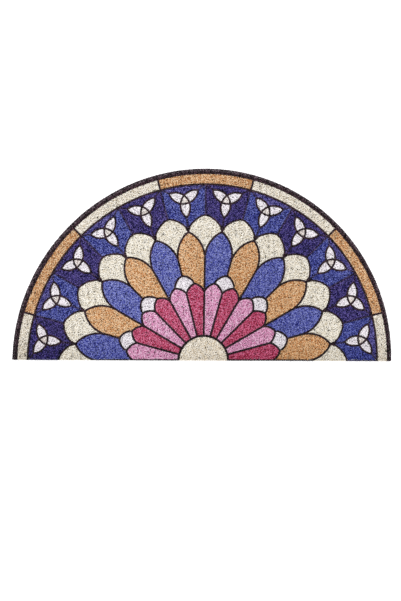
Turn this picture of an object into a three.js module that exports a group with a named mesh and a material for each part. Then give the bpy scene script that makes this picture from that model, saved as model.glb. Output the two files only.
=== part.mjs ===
// A half-round doormat of looped vinyl, lying flat: one sheet, cut to an arc behind and straight in front.
// Millimetres, +Z up. The origin is on the floor, under the middle of the mat.
import * as THREE from 'three';

// Driving dimensions
const arcRadius = 400; // half the straight edge
const pullDeep = 1.012; // the soft web was drawn out this much from front to back
const pullAskew = 0.019; // and drifts this far to the right for each millimetre of depth
const thickness = 12; // from the floor to the tops of the loops
const edgeRounding = 2; // the loops slump over at the cut edge, above and below
const arcSteps = 72; // facets of the arc, one to each 2.5 degrees
const roundingSteps = 3; // facets of the rounded edge

// The cut outline: a half circle pulled a little deep and askew, closed by the straight edge.
function matOutline() {
  const points = [];
  for (let step = 0; step <= arcSteps; step++) {
    const angle = (Math.PI * step) / arcSteps;
    const depth = pullDeep * arcRadius * Math.sin(angle);
    const across = arcRadius * Math.cos(angle) + pullAskew * depth;
    points.push(new THREE.Vector2(across, depth));
  }
  return new THREE.Shape(points);
}

// The sheet: the outline at full thickness with its edges rounded, centred over the origin on the floor.
function matGeometry() {
  const geometry = new THREE.ExtrudeGeometry(matOutline(), {
    depth: thickness - 2 * edgeRounding,
    steps: 1,
    bevelEnabled: true,
    bevelThickness: edgeRounding,
    bevelSize: edgeRounding,
    bevelOffset: -edgeRounding,
    bevelSegments: roundingSteps,
  });
  geometry.computeBoundingBox();
  const { min, max } = geometry.boundingBox;
  geometry.translate(-(min.x + max.x) / 2, -(min.y + max.y) / 2, -min.z);
  return geometry;
}

// Looped vinyl, printed all over: the print's mean colour, with the soft shine of plasticised vinyl.
function printedVinyl() {
  return new THREE.MeshStandardMaterial({ color: 0x8b7884, roughness: 0.55, metalness: 0 });
}

const mat = new THREE.Mesh(matGeometry(), printedVinyl());
mat.name = 'mat';

const doormat = new THREE.Group();
doormat.add(mat);

export default doormat;
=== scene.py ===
import math

import bpy
import numpy as np
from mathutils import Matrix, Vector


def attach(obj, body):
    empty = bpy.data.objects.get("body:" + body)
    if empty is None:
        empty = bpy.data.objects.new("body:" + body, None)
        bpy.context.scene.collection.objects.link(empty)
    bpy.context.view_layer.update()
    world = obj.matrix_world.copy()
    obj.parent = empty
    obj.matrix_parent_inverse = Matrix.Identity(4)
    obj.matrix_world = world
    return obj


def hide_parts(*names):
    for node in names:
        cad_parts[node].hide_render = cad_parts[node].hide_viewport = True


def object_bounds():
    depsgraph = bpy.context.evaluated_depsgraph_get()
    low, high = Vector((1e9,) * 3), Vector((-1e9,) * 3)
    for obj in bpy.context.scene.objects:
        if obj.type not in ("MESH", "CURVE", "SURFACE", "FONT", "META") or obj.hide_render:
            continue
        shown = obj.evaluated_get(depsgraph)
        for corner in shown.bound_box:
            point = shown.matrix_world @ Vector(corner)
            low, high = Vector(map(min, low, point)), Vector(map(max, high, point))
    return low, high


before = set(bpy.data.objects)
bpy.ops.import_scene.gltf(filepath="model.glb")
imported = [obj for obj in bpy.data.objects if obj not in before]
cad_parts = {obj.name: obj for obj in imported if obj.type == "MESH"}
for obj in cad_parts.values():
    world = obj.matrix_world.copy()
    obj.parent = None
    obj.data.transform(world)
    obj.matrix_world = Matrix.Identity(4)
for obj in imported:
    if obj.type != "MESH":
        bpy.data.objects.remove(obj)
cad_low, cad_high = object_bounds()


# Camera
# The mat is seen from straight above, with its straight edge at the bottom of an upright picture and a
# fifth of a degree out of level. The lens is long, so the mat shows no perspective.
mat_tilt = math.radians(0.2)
camera_height = 3.2
sensor_millimetres = 36.0

# The picture's sides, and the mat's edges in it, in pixels
picture_width, picture_height = 401, 601
mat_left, mat_right = 12.5, 391.5
mat_top, mat_bottom = 168.5, 360.5

metres_per_pixel = (cad_high.x - cad_low.x) / (mat_right - mat_left)
right_of_middle = ((mat_left + mat_right - picture_width) / 2) * metres_per_pixel
above_middle = ((picture_height - mat_top - mat_bottom) / 2) * metres_per_pixel
camera_data = bpy.data.cameras.new("camera")
camera_data.sensor_width = sensor_millimetres
camera_data.lens = sensor_millimetres * (camera_height - cad_high.z) / (picture_height * metres_per_pixel)
camera = bpy.data.objects.new("camera", camera_data)
camera.location = (
    -right_of_middle * math.cos(mat_tilt) + above_middle * math.sin(mat_tilt),
    -right_of_middle * math.sin(mat_tilt) - above_middle * math.cos(mat_tilt),
    camera_height,
)
camera.rotation_euler = (0, 0, mat_tilt)
bpy.context.collection.objects.link(camera)
bpy.context.scene.camera = camera


# Floor and studio light
# A plain white floor under an even white dome, with one broad soft lamp high above the mat, a little
# behind it and to the left.
floor_size = 30.0
floor_drop = 0.0005
floor_white = (0.93, 0.93, 0.93, 1)
floor_roughness = 0.9
dome_white = (1, 1, 1, 1)
dome_strength = 0.94
lamp_place = (-1, 1, 3)
lamp_strength = 2.8
lamp_width = math.radians(28)
lamp_tilt = math.radians(10)
lamp_azimuth = math.radians(35)

bpy.context.scene.view_settings.view_transform = "Standard"
bpy.context.scene.cycles.use_denoising = False
dome = bpy.data.worlds.new("dome")
dome.use_nodes = True
dome.node_tree.nodes["Background"].inputs["Color"].default_value = dome_white
dome.node_tree.nodes["Background"].inputs["Strength"].default_value = dome_strength
bpy.context.scene.world = dome

lamp_data = bpy.data.lights.new("lamp", "SUN")
lamp_data.energy = lamp_strength
lamp_data.angle = lamp_width
lamp = bpy.data.objects.new("lamp", lamp_data)
lamp.location = lamp_place
lamp.rotation_euler = (-lamp_tilt, 0, lamp_azimuth)
bpy.context.collection.objects.link(lamp)

floor_mesh = bpy.data.meshes.new("floor")
half = floor_size / 2
floor_mesh.from_pydata(
    [(-half, -half, 0), (half, -half, 0), (half, half, 0), (-half, half, 0)], [], [(0, 1, 2, 3)]
)
floor_paint = bpy.data.materials.new("floor_paint")
floor_paint.use_nodes = True
floor_paint.node_tree.nodes["Principled BSDF"].inputs["Base Color"].default_value = floor_white
floor_paint.node_tree.nodes["Principled BSDF"].inputs["Roughness"].default_value = floor_roughness
floor_mesh.materials.append(floor_paint)
floor = bpy.data.objects.new("floor", floor_mesh)
floor.location.z = -floor_drop
bpy.context.collection.objects.link(floor)


# Print
# The pattern is printed on the loops from above, in solid inks with near-black lead lines: half of a rose
# window, whose arches are struck with compasses on twelve equal sectors. It was pulled deep and askew with
# the soft web, bulging towards the arc, and the mat was then cut a touch off the print.

# The half disc, and how its web and print were drawn out of true
arc_radius = 0.400
pull_deep = 1.012
pull_askew = 0.019
print_right = 0.0032
print_forward = 0.0014
print_turn = math.radians(0.15)
print_bulge = 0.015

# The window. Springings, apexes and rings are measured from the middle of its straight edge
sector = math.radians(15)
disc_radius = 0.0526
small_petal = dict(springing=0.1334, apex=0.1634, radius=0.0320, easing=0.002)
white_tip = dict(springing=0.1522, apex=0.1840, radius=0.0334, easing=0.006)
large_petal = dict(springing=0.2200, apex=0.2718, radius=0.0615, easing=0.006)
petal_joint = 0.0080
joint_flare = 0.45
scallop = dict(springing=0.2510, apex=0.3057, radius=0.0570, easing=0.006)
knot_centre = 0.3377
knot_reach = 0.0251
knot_radius = 0.0319
knot_foot = 0.3025
knot_tip_along = 0.3566
knot_tip_across = 0.0316
ring_radius = 0.3690
rim_radius = 0.3901

# The lead lines
lead_width = 0.0044
scallop_lead_width = 0.0040
disc_lead_width = 0.0050
knot_lead_width = 0.0042
base_lead_width = 0.0074
rim_lead_width = 0.0060
soft_lead = 0.8

# How the ink took, and the painted shade where the light falls off
ink_bleed = 0.0009
speckle_size = 0.0015
speckle_softness = 0.4
ink_unevenness = 1.5
# Painted shade: the print is darkened towards the front edge and round a place at the right, as the light
# falls off there
front_painted_shade = 0.18
front_length = 0.045
patch_painted_shade = 0.11
patch_size = 0.117
patch_right = 0.113
patch_up = -0.082
ink_strength = 0.86
vinyl_gloss = 0.25

# The inks
ivory = (0.783, 0.73, 0.625, 1)
disc_ivory = (0.83, 0.755, 0.637, 1)
cream = (0.729, 0.666, 0.564, 1)
tan = (0.64, 0.358, 0.162, 1)
ochre = (0.561, 0.301, 0.131, 1)
royal_blue = (0.034, 0.044, 0.257, 1)
indigo = (0.04, 0.033, 0.187, 1)
navy = (0.018, 0.011, 0.109, 1)
mid_blue = (0.09, 0.107, 0.398, 1)
pink = (0.713, 0.346, 0.536, 1)
crimson = (0.513, 0.068, 0.159, 1)
white = (0.813, 0.767, 0.805, 1)
blush = (0.72, 0.65, 0.617, 1)
lead = (0.009, 0.002, 0.004, 1)
aubergine = (0.034, 0.02, 0.026, 1)


class Field:
    """One output socket of a material, usable in sums: each operator adds the Math node for it, also where
    the number stands first."""

    def __init__(self, tree, socket):
        self.tree = tree
        self.socket = socket

    def node(self, kind, values=None, output=0, **settings):
        """A new node: its settings first, then the value or link of each input. Gives one output."""
        made = self.tree.nodes.new(kind)
        for name, value in settings.items():
            setattr(made, name, value)
        for entry, value in (values or {}).items():
            if isinstance(value, Field):
                self.tree.links.new(value.socket, made.inputs[entry])
            else:
                made.inputs[entry].default_value = value
        return Field(self.tree, made.outputs[output])

    def maths(self, operation, *values):
        """One Math node on the values."""
        return self.node("ShaderNodeMath", dict(enumerate(values)), operation=operation)

    def __add__(self, other):
        return self.maths("ADD", self, other)

    __radd__ = __add__

    def __sub__(self, other):
        return self.maths("SUBTRACT", self, other)

    def __rsub__(self, other):
        return self.maths("SUBTRACT", other, self)

    def __neg__(self):
        return self.maths("MULTIPLY", self, -1)

    def __mul__(self, other):
        return self.maths("MULTIPLY", self, other)

    __rmul__ = __mul__

    def __truediv__(self, other):
        return self.maths("DIVIDE", self, other)

    def __gt__(self, other):
        return self.maths("GREATER_THAN", self, other)

    def __lt__(self, other):
        return self.maths("LESS_THAN", self, other)

    def __mod__(self, other):
        return self.maths("MODULO", self, other)

    def __abs__(self):
        return self.maths("ABSOLUTE", self)

    def floor(self):
        return self.maths("FLOOR", self)

    def cos(self):
        return self.maths("COSINE", self)

    def sin(self):
        return self.maths("SINE", self)

    def exp(self):
        return self.maths("EXPONENT", self)

    def hypot(self, other):
        return self.maths("SQRT", self * self + other * other)

    def larger(self, other):
        return self.maths("MAXIMUM", self, other)

    def lesser(self, other, easing):
        """The smaller of two values, eased from one to the other where they are nearly equal."""
        return self.maths("SMOOTH_MIN", self, other, easing)

    def clamped(self):
        """This value, kept between 0 and 1."""
        return self.node("ShaderNodeClamp", {0: self})

    def scaled(self, factor):
        """This colour times a number."""
        return self.node("ShaderNodeVectorMath", {0: self, "Scale": factor}, operation="SCALE")

    def axis(self, number):
        """The x, y or z of this place."""
        return self.node("ShaderNodeSeparateXYZ", {0: self}, output=number)


def place_on(tree):
    """The place on the mat of each point of a material."""
    return Field(tree, tree.nodes.new("ShaderNodeTexCoord").outputs["Object"])


def painted(ink, mask, colour):
    """An ink with another colour painted over it where a mask is 1: ink (1 - mask) + colour mask. The node's
    inputs 6 and 7 and its output 2 are those for colours."""
    return mask.node("ShaderNodeMix", {0: mask, 6: ink, 7: colour}, output=2, data_type="RGBA")


def past(distance):
    """1 where a distance is positive and 0 where it is negative, with the ink's bleed between."""
    return (distance / ink_bleed + 0.5).clamped()


def stroke(distance, width=lead_width):
    """1 within half a line's width of a line, and 0 away from it."""
    return past(width / 2 - abs(distance))


def inside_arch(along, across, springing, apex, radius, easing):
    """How far a point lies within a pointed arch: radius - |point - centre| for two centres level with the
    springing, one on either side of its middle, and the smaller of the two, eased at the point."""
    beyond = math.sqrt(radius**2 - (apex - springing) ** 2)
    this_arc = radius - (along - springing).hypot(across + beyond)
    that_arc = radius - (along - springing).hypot(across - beyond)
    return this_arc.lesser(that_arc, easing)


def knot_panel(along_sector, across_sector, across_divider, odd_sector):
    """The dark panel between two scallops and the ring, darker above the knot in one sector and all over in
    the next. Three equal circles, a third of a turn apart round the knot's centre, give its lobes where two
    of them overlap and its heart where all three do. A circle's line shows only inside another circle."""
    tip_slope = (ring_radius * math.cos(sector / 2) - knot_tip_along) / (
        ring_radius * math.sin(sector / 2) - knot_tip_across
    )
    above_tips = along_sector - knot_tip_along - (across_sector - knot_tip_across) * tip_slope
    panel = painted(royal_blue, past(above_tips), indigo)
    panel = painted(panel, odd_sector, navy)
    foot = stroke(across_sector) * (along_sector < knot_foot)
    arms = stroke(above_tips) * (across_sector > knot_tip_across)
    for line in (stroke(across_divider), foot, arms):
        panel = painted(panel, line * soft_lead, lead)

    low, side = knot_centre - knot_reach / 2, knot_reach * math.sqrt(3) / 2
    out = knot_radius - (along_sector - (knot_centre + knot_reach)).hypot(across_sector)
    near = knot_radius - (along_sector - low).hypot(across_sector - side)
    far = knot_radius - (along_sector - low).hypot(across_sector + side)
    covers = past(out) + past(near) + past(far)
    panel = painted(panel, (covers - 1).clamped(), white)
    panel = painted(panel, (covers - 2).clamped(), blush)
    for circle, one, other in ((out, near, far), (near, out, far), (far, out, near)):
        panel = painted(panel, stroke(circle, knot_lead_width) * past(one.larger(other)), lead)
    return panel


def rose_window(tree):
    """The printed colour at each point of the mat. With the pull undone, a point is at a radius and a turn in
    the true window, so it is radius cos angle along and radius sin angle across its sector's middle line,
    or the divider beside it. The inks are painted one over another, from the wide petals out to the rim and
    then in to the disc."""
    place = place_on(tree)
    right = place.axis(0) - print_right
    deep = place.axis(1) - (cad_low.y - print_forward)
    right = right + (right * right + deep * deep) * print_bulge
    depth = deep * math.cos(print_turn) - right * math.sin(print_turn)
    across = right * math.cos(print_turn) + deep * math.sin(print_turn) - pull_askew * depth
    up = depth / pull_deep

    radius = across.hypot(up)
    turn = up.maths("ARCTAN2", up, across) / sector
    odd_sector = turn.floor() % 2
    odd_divider = (turn + 0.5).floor() % 2
    tan_block = ((turn + 1) / 2).floor() % 2
    from_middle = abs(turn - turn.floor() - 0.5) * sector
    from_divider = sector / 2 - from_middle
    along_sector, across_sector = radius * from_middle.cos(), radius * from_middle.sin()
    along_divider, across_divider = radius * from_divider.cos(), radius * from_divider.sin()

    # Wide petals, and the scallops and knotted panels beyond them
    within_large = inside_arch(along_sector, across_sector, **large_petal)
    on_large = along_sector > large_petal["springing"]
    beyond_large = on_large * past(-within_large)
    ink = painted(tan, odd_sector, mid_blue)
    ink = painted(ink, stroke(across_divider), lead)
    ink = painted(ink, beyond_large, ivory)
    within_scallop = inside_arch(along_divider, across_divider, **scallop)
    on_scallop = along_divider > scallop["springing"]
    panel = knot_panel(along_sector, across_sector, across_divider, odd_sector)
    ink = painted(ink, on_scallop * past(-within_scallop), panel)
    ink = painted(ink, stroke(within_scallop, scallop_lead_width) * on_scallop * beyond_large, lead)
    ink = painted(ink, stroke(within_large) * on_large, lead)
    past_apex = along_sector - large_petal["apex"]
    joint = stroke(across_sector, past_apex * (2 * joint_flare) + lead_width)
    ink = painted(ink, joint * past(past_apex) * past(petal_joint - past_apex), lead)

    # Ring of blocks, and the rim
    block = painted(cream, tan_block, ochre)
    block = painted(block, stroke(across_divider) * odd_divider, lead)
    ink = painted(ink, past(radius - ring_radius), block)
    ink = painted(ink, stroke(radius - ring_radius), lead)
    ink = painted(ink, past(radius - rim_radius), aubergine)
    ink = painted(ink, stroke(radius - rim_radius - rim_lead_width / 2, rim_lead_width), lead)

    # White tips, behind the small petals
    within_tip = inside_arch(along_divider, across_divider, **white_tip)
    tip = odd_divider * (radius < white_tip["apex"] + lead_width)
    ink = painted(ink, tip * past(within_tip), white)
    ink = painted(ink, tip * stroke(within_tip), lead)

    # Small petals, the line along the straight edge, and the disc
    within_small = inside_arch(along_sector, across_sector, **small_petal)
    on_small = along_sector > small_petal["springing"]
    near_small = radius < small_petal["apex"] + lead_width
    petal = painted(crimson, odd_sector, pink)
    petal = painted(petal, stroke(across_divider), lead)
    ink = painted(ink, past(within_small).larger(1 - on_small) * near_small, petal)
    ink = painted(ink, stroke(within_small) * on_small * near_small, lead)
    ink = painted(ink, stroke(up, base_lead_width) * (radius < large_petal["springing"]), lead)
    ink = painted(ink, past(disc_radius - radius), disc_ivory)
    return painted(ink, stroke(radius - disc_radius, disc_lead_width), lead)


def printed_vinyl(name, roughness):
    """Plasticised vinyl with the print on it, and the print's colour, ink ** thickness * ink_strength * (1 -
    painted_shade). The thickness is 1 + ink_unevenness (r * r - 1 / 3) + painted_shade, with a random r from
    0 to
    1 in each speckle. The painted shade, for light that falls off, is front_painted_shade exp(-depth /
    front_length) behind the front edge, plus patch_painted_shade exp(-(distance / patch_size) ** 2 / 2) round
    a place at the right."""
    material = bpy.data.materials.new(name)
    material.use_nodes = True
    tree = material.node_tree
    ink = rose_window(tree)
    place = place_on(tree)
    cells = {"Vector": place, "Scale": 1 / speckle_size, "Smoothness": speckle_softness}
    cell = place.node("ShaderNodeTexVoronoi", cells, output=1, voronoi_dimensions="2D", feature="SMOOTH_F1")
    speckle = place.node("ShaderNodeSeparateColor", {0: cell})
    # Painted shade: darker towards the front edge and round a place at the right, for light falling off
    front = ((cad_low.y - place.axis(1)) / front_length).exp()
    from_patch = (place.axis(0) - patch_right).hypot(place.axis(1) - patch_up) / patch_size
    patch = (from_patch * from_patch * -0.5).exp()
    painted_shade = front * front_painted_shade + patch * patch_painted_shade
    thickness = (speckle * speckle - 1 / 3) * ink_unevenness + 1 + painted_shade
    ink = ink.node("ShaderNodeGamma", {0: ink, 1: thickness}).scaled((1 - painted_shade) * ink_strength)
    finish = tree.nodes["Principled BSDF"]
    finish.inputs["Roughness"].default_value = roughness
    finish.inputs["Specular IOR Level"].default_value = vinyl_gloss
    tree.links.new(ink.socket, finish.inputs["Base Color"])
    return material, ink


# Web
# The lower part of the mat: loops of vinyl that fused into one flat web where they touched, die-cut to a
# half disc. Less ink reaches it, and its colour is darkened by painted shade for the light that doesn't, so
# it shows dark between the loops that stand on it, with painted shadows where open holes would be.
web_top = 0.0061
web_top_lumps = 0.0010
web_under_lumps = 0.0006
web_inset = 0.0035
web_cells = (110, 55)
web_seed = 11
web_roughness = 0.6
# The web's print is darkened to this share: partly less ink, partly painted shade between the loops
web_shade = 0.75
web_ring_gap = 0.0052
web_ring_radius = 0.0021
web_ring_width = 0.0009
web_ring_height = 0.0012
web_ring_shift = (0.31, 0.17, 0)
# Painted shadow: dark spots of this radius, at this share of the web's colour, stand for holes through the
# web
web_hole_radius = 0.0017
web_hole_shade = 0.08


def pulled(across, up):
    """The place on the mat of a point of the true half disc: drawn deep and askew, from the front edge."""
    depth = up * pull_deep
    return across + pull_askew * depth, depth + cad_low.y


def put_in_scene(name, points, faces, material):
    """A smooth closed mesh of the points and faces, with a flat map of it seen from above."""
    mesh = bpy.data.meshes.new(name)
    mesh.vertices.add(len(points))
    mesh.vertices.foreach_set("co", points.ravel())
    corners = np.concatenate([f.ravel() for f in faces])
    sides = np.concatenate([np.full(len(f), f.shape[1]) for f in faces])
    mesh.loops.add(len(corners))
    mesh.loops.foreach_set("vertex_index", corners)
    mesh.polygons.add(len(sides))
    mesh.polygons.foreach_set("loop_start", np.cumsum(sides) - sides)
    mesh.update(calc_edges=True)
    mesh.validate()
    mesh.shade_smooth()
    low, high = points[:, :2].min(0), points[:, :2].max(0)
    flat = (points[corners, :2] - low) / (high - low)
    mesh.uv_layers.new(name="OFBake").data.foreach_set("uv", flat.ravel())
    mesh.materials.append(material)
    piece = bpy.data.objects.new(name, mesh)
    bpy.context.collection.objects.link(piece)
    return piece


def web_surface():
    """Top and underside as one square grid drawn over the half disc, across = s sqrt(1 - t * t / 2) and up =
    t sqrt(1 - s * s / 2) of the reach, both lumpy, and joined round the edge."""
    rng = np.random.default_rng(web_seed)
    s, t = np.meshgrid(np.linspace(-1, 1, web_cells[0] + 1), np.linspace(0, 1, web_cells[1] + 1))
    reach = arc_radius - web_inset
    across = reach * s * np.sqrt(1 - t**2 / 2)
    up = web_inset + (reach - web_inset) * t * np.sqrt(1 - s**2 / 2)
    x, y = pulled(across, up)
    top = np.stack([x, y, web_top + rng.uniform(-web_top_lumps, web_top_lumps, s.shape)], -1).reshape(-1, 3)
    under = np.stack([x, y, rng.uniform(0, web_under_lumps, s.shape)], -1).reshape(-1, 3)
    index = np.arange(s.size).reshape(s.shape)
    a, b, c, d = index[:-1, :-1], index[:-1, 1:], index[1:, 1:], index[1:, :-1]
    up_faces = np.stack([a, b, c, d], -1).reshape(-1, 4)
    down_faces = np.stack([a, d, c, b], -1).reshape(-1, 4) + s.size
    rim = np.concatenate([index[0, :-1], index[:-1, -1], index[-1, :0:-1], index[:0:-1, 0]])
    after = np.roll(rim, -1)
    wall = np.stack([rim, rim + s.size, after + s.size, after], -1)
    return np.concatenate([top, under]), [up_faces, down_faces, wall]


def scattered_rings(spot):
    """The distance to the nearest of many scattered points, and a ridge where that is a ring's radius: 1 -
    |distance - radius| / width, and 0 away from it."""
    points = {"Vector": spot, "Scale": 1 / web_ring_gap}
    distance = spot.node("ShaderNodeTexVoronoi", points, voronoi_dimensions="2D") * web_ring_gap
    return distance, (1 - abs(distance - web_ring_radius) / web_ring_width).clamped()


def fused_rings(tree):
    """Rings of vinyl fused flat, as a height and as the painted shade of each point: two scatterings of them,
    one over the other. In the middle of the lower rings, where no upper ring crosses them, painted shadows
    stand for open holes."""
    place = place_on(tree)
    shifted = place.node("ShaderNodeVectorMath", {0: place, 1: web_ring_shift}, operation="ADD")
    upper_ridge = scattered_rings(shifted)[1]
    from_lower, lower_ridge = scattered_rings(place)
    # Painted shadow in the holes, and painted shade over the whole web
    painted_hole_shadow = past(web_hole_radius - from_lower) * (1 - upper_ridge)
    return upper_ridge.larger(lower_ridge), (1 - painted_hole_shadow * (1 - web_hole_shade)) * web_shade


web_vinyl, web_ink = printed_vinyl("web_vinyl", web_roughness)
web_relief, web_painted_shade = fused_rings(web_vinyl.node_tree)
web_bump = web_relief.node("ShaderNodeBump", {"Height": web_relief, "Distance": web_ring_height})
web_finish = web_vinyl.node_tree.nodes["Principled BSDF"]
# The web's colour, darkened by painted shade and painted hole shadows
web_vinyl.node_tree.links.new(web_ink.scaled(web_painted_shade).socket, web_finish.inputs["Base Color"])
web_vinyl.node_tree.links.new(web_bump.socket, web_finish.inputs["Normal"])
web = put_in_scene("web", *web_surface(), web_vinyl)
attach(web, "root")
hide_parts("mat")


# Loops
# The upper part: two layers of soft vinyl strands that coiled as they were laid side by side, the lower
# from side to side and the upper from front to back. They are fused where they cross and pressed level.

# A strand and its coils
strand_radius = 0.00092
strand_sides = 3
steps_per_loop = 10
loop_radius = 0.0031
loop_pitch = 0.0060
loop_lean = 0.45
spare_loops = 2
lane_gap = 0.0060

# How unevenly the strands were laid
turn_wander = 0.7
size_wander = 0.3
lane_wander = 0.0032
lane_wander_loops = 3
across_wander = 0.0014
along_wander = 0.0016
lean_wander = 0.3
roll_wander = 0.4
height_wander = 0.0010
eddies = 7
eddy_length = 0.026
eddy_stretch = 0.13
eddy_push = 0.0016
loops_seed = 21

# The layers, pressed level and cut
loops_top = cad_high.z - strand_radius
loops_roughness = 0.4
kept_past_cut = 0.0012
layers = (
    dict(name="lower_loops", crosswise=True, height=0.0078, low=0.0050, bands=3),
    dict(name="upper_loops", crosswise=False, height=0.0094, low=0.0060, bands=3),
)


def drifted(x, y):
    """Points moved by the slow eddies of the bath that the strands were laid in: a sum of sine waves that run
    in golden-angle directions, each pushing the strands sideways to its own run."""
    moved_x, moved_y = x.copy(), y.copy()
    for wave in range(eddies):
        heading = wave * math.pi * (3 - math.sqrt(5))
        run = x * math.cos(heading) + y * math.sin(heading)
        push = eddy_push * np.sin(2 * math.pi * run / (eddy_length * (1 + eddy_stretch * wave)) + wave)
        moved_x -= push * math.sin(heading)
        moved_y += push * math.cos(heading)
    return moved_x, moved_y


def kept_on_mat(x, y, margin):
    """Points moved onto the half disc's outline, less a margin, where they pass it, and how far out they
    were: the larger of radius - reach and margin - up, where the reach is arc_radius - margin."""
    depth = y - cad_low.y
    up = depth / pull_deep
    across = x - pull_askew * depth
    reach = arc_radius - margin
    radius = np.hypot(across, up)
    outside = np.maximum(radius - reach, margin - up)
    shrink = reach / np.maximum(radius, reach)
    x, y = pulled(across * shrink, np.maximum(up * shrink, margin))
    return x, y, outside


def strands(x, y, z, kept, thickness):
    """Tubes along rows of points: at each point a ring of corners square to the strand, point + thickness
    (cos turn side + sin turn above). A tube runs while its points are kept, and is closed at both ends."""
    path = np.stack([x, y, z], -1)
    along = np.gradient(path, axis=1)
    along /= np.linalg.norm(along, axis=-1, keepdims=True)
    side = np.cross(along, (0.0, 0.0, 1.0))
    side /= np.linalg.norm(side, axis=-1, keepdims=True)
    above = np.cross(side, along)
    turn = -math.pi / 2 + np.arange(strand_sides) * 2 * math.pi / strand_sides
    ring = np.cos(turn)[:, None] * side[..., None, :] + np.sin(turn)[:, None] * above[..., None, :]
    points = path[..., None, :] + thickness * ring

    number = np.arange(points[..., 0].size).reshape(points.shape[:3])
    runs = kept[:, :-1] & kept[:, 1:]
    here, there = number[:, :-1][runs], number[:, 1:][runs]
    walls = np.stack([here, np.roll(here, -1, 1), np.roll(there, -1, 1), there], -1).reshape(-1, 4)
    edge = np.zeros((len(kept), 1), bool)
    before = np.concatenate([edge, runs], 1)
    after = np.concatenate([runs, edge], 1)
    starts, ends = number[after & ~before], number[before & ~after]
    caps = np.concatenate([starts[:, ::-1], ends])

    used = np.unique(np.concatenate([walls.ravel(), caps.ravel()]))
    renumber = np.zeros(number.size, int)
    renumber[used] = np.arange(len(used))
    return points.reshape(-1, 3)[used], [renumber[walls], renumber[caps]]


def wander(rng, shape, size, every=1):
    """Random values up to a size either way, one for each loop, or each so many loops, of each row. Between
    two of them, a share f of the way along, the value is eased over by f * f * (3 - 2 * f)."""
    rows, steps = shape
    stops = rng.uniform(-size, size, (rows, steps // (every * steps_per_loop) + 2))
    t = np.arange(steps) / (every * steps_per_loop)
    k = t.astype(int)
    f = t - k
    eased = f**2 * (3 - 2 * f)
    return stops[:, k] * (1 - eased) + stops[:, k + 1] * eased


def winding(rng, shape):
    """The loops made by each step of a strand, and the angle turned in each row, 2 pi loops + a start of its
    own, a little uneven."""
    loops = np.arange(shape[1]) / steps_per_loop
    start = rng.uniform(0, 2 * math.pi, (shape[0], 1))
    return loops, 2 * math.pi * loops + start + wander(rng, shape, turn_wander)


def coils(rng, lanes, start, length, height, low):
    """Coils along one direction, one lane beside another: along = pitch loops + size sin turn, across = lane
    + size cos turn, up = height + size (lean sin turn + roll cos turn), each a little uneven."""
    shape = lanes, steps_per_loop * (int(length / loop_pitch) + 2 * spare_loops)
    loops, turn = winding(rng, shape)
    hand = rng.choice([-1, 1], (lanes, 1))
    size = loop_radius * (1 + wander(rng, shape, size_wander))
    lane = (np.arange(lanes)[:, None] + 0.5) * lane_gap + wander(rng, shape, lane_wander, lane_wander_loops)
    across = lane + hand * size * np.cos(turn) + wander(rng, shape, across_wander)
    along = start + loop_pitch * (loops - spare_loops) + size * np.sin(turn)
    along = along + wander(rng, shape, along_wander)
    lean = rng.choice([-1, 1], (lanes, 1)) * loop_lean + wander(rng, shape, lean_wander)
    roll = wander(rng, shape, roll_wander)
    up = height + size * (lean * np.sin(turn) + roll * np.cos(turn))
    up = up + wander(rng, shape, height_wander)
    return along, across, np.clip(up, low, loops_top)


loop_vinyl, _ = printed_vinyl("loop_vinyl", loops_roughness)
loop_pieces = []
for layer in layers:
    rng = np.random.default_rng(loops_seed + len(loop_pieces))
    across_axis, along_axis = (1, 0) if layer["crosswise"] else (0, 1)
    breadth = cad_high[across_axis] - cad_low[across_axis]
    length = cad_high[along_axis] - cad_low[along_axis]
    lanes = math.ceil(breadth / lane_gap)
    along, across, up = coils(rng, lanes, cad_low[along_axis], length, layer["height"], layer["low"])
    across = across + cad_low[across_axis]
    x, y = (along, across) if layer["crosswise"] else (across, along)
    x, y, outside = kept_on_mat(*drifted(x, y), strand_radius)
    for band, rows in enumerate(np.array_split(np.arange(lanes), layer["bands"])):
        tubes = strands(x[rows], y[rows], up[rows], outside[rows] < kept_past_cut, strand_radius)
        piece = put_in_scene(f"{layer['name']}_{band + 1}", *tubes, loop_vinyl)
        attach(piece, "root")
        loop_pieces.append(piece)


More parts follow.
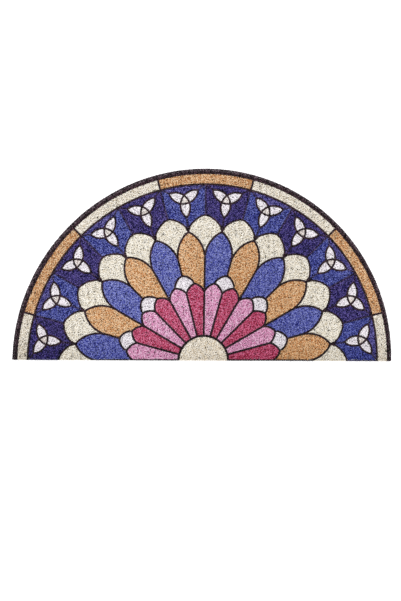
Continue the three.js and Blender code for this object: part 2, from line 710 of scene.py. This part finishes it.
# Cut edge
# Where the blade went through the loops, their ends lie curled against one another from the floor to the
# top, round the arc and along the straight edge.
edge_inset = 0.0009
edge_sway = 0.0004
edge_sway_ahead = 1.0
edge_loop_radius = 0.0025
edge_pitch = 0.0042
edge_along_wander = 0.0012
edge_height_wander = 0.0006
edge_heights = (0.0030, 0.0054, 0.0076, 0.0092)
edge_seed = 31


def edge_coils(rng, length):
    """Coils in the upright plane of the cut: along = length * share of the loops + size cos turn, up = height
    + size sin turn, and the inset from the edge sways with cos (turn + edge_sway_ahead)."""
    shape = len(edge_heights), steps_per_loop * int(length / edge_pitch)
    loops, turn = winding(rng, shape)
    size = edge_loop_radius * (1 + wander(rng, shape, size_wander))
    along = length * loops / loops[-1] + size * np.cos(turn) + wander(rng, shape, edge_along_wander)
    inset = edge_inset + edge_sway * np.cos(turn + edge_sway_ahead) + wander(rng, shape, edge_sway)
    up = np.array(edge_heights)[:, None] + size * np.sin(turn) + wander(rng, shape, edge_height_wander)
    return along, np.maximum(inset, strand_radius / 2), np.clip(up, strand_radius, loops_top)


rng = np.random.default_rng(edge_seed)
arc_along, arc_inset, arc_up = edge_coils(rng, math.pi * arc_radius)
arc_turn = np.clip(arc_along / arc_radius, 0, math.pi)
arc_reach = arc_radius - arc_inset
arc_x, arc_y = pulled(arc_reach * np.cos(arc_turn), np.maximum(arc_reach * np.sin(arc_turn), strand_radius))
arc_points, arc_faces = strands(arc_x, arc_y, arc_up, np.ones(arc_x.shape, bool), strand_radius)
front_along, front_inset, front_up = edge_coils(rng, 2 * arc_radius)
front_across = np.clip(front_along - arc_radius, strand_radius - arc_radius, arc_radius - strand_radius)
front_x, front_y = pulled(front_across, front_inset)
front_points, front_faces = strands(front_x, front_y, front_up, np.ones(front_x.shape, bool), strand_radius)
edge_points = np.concatenate([arc_points, front_points])
edge_faces = arc_faces + [faces + len(arc_points) for faces in front_faces]
cut_edge = put_in_scene("cut_edge", edge_points, edge_faces, loop_vinyl)
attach(cut_edge, "root")
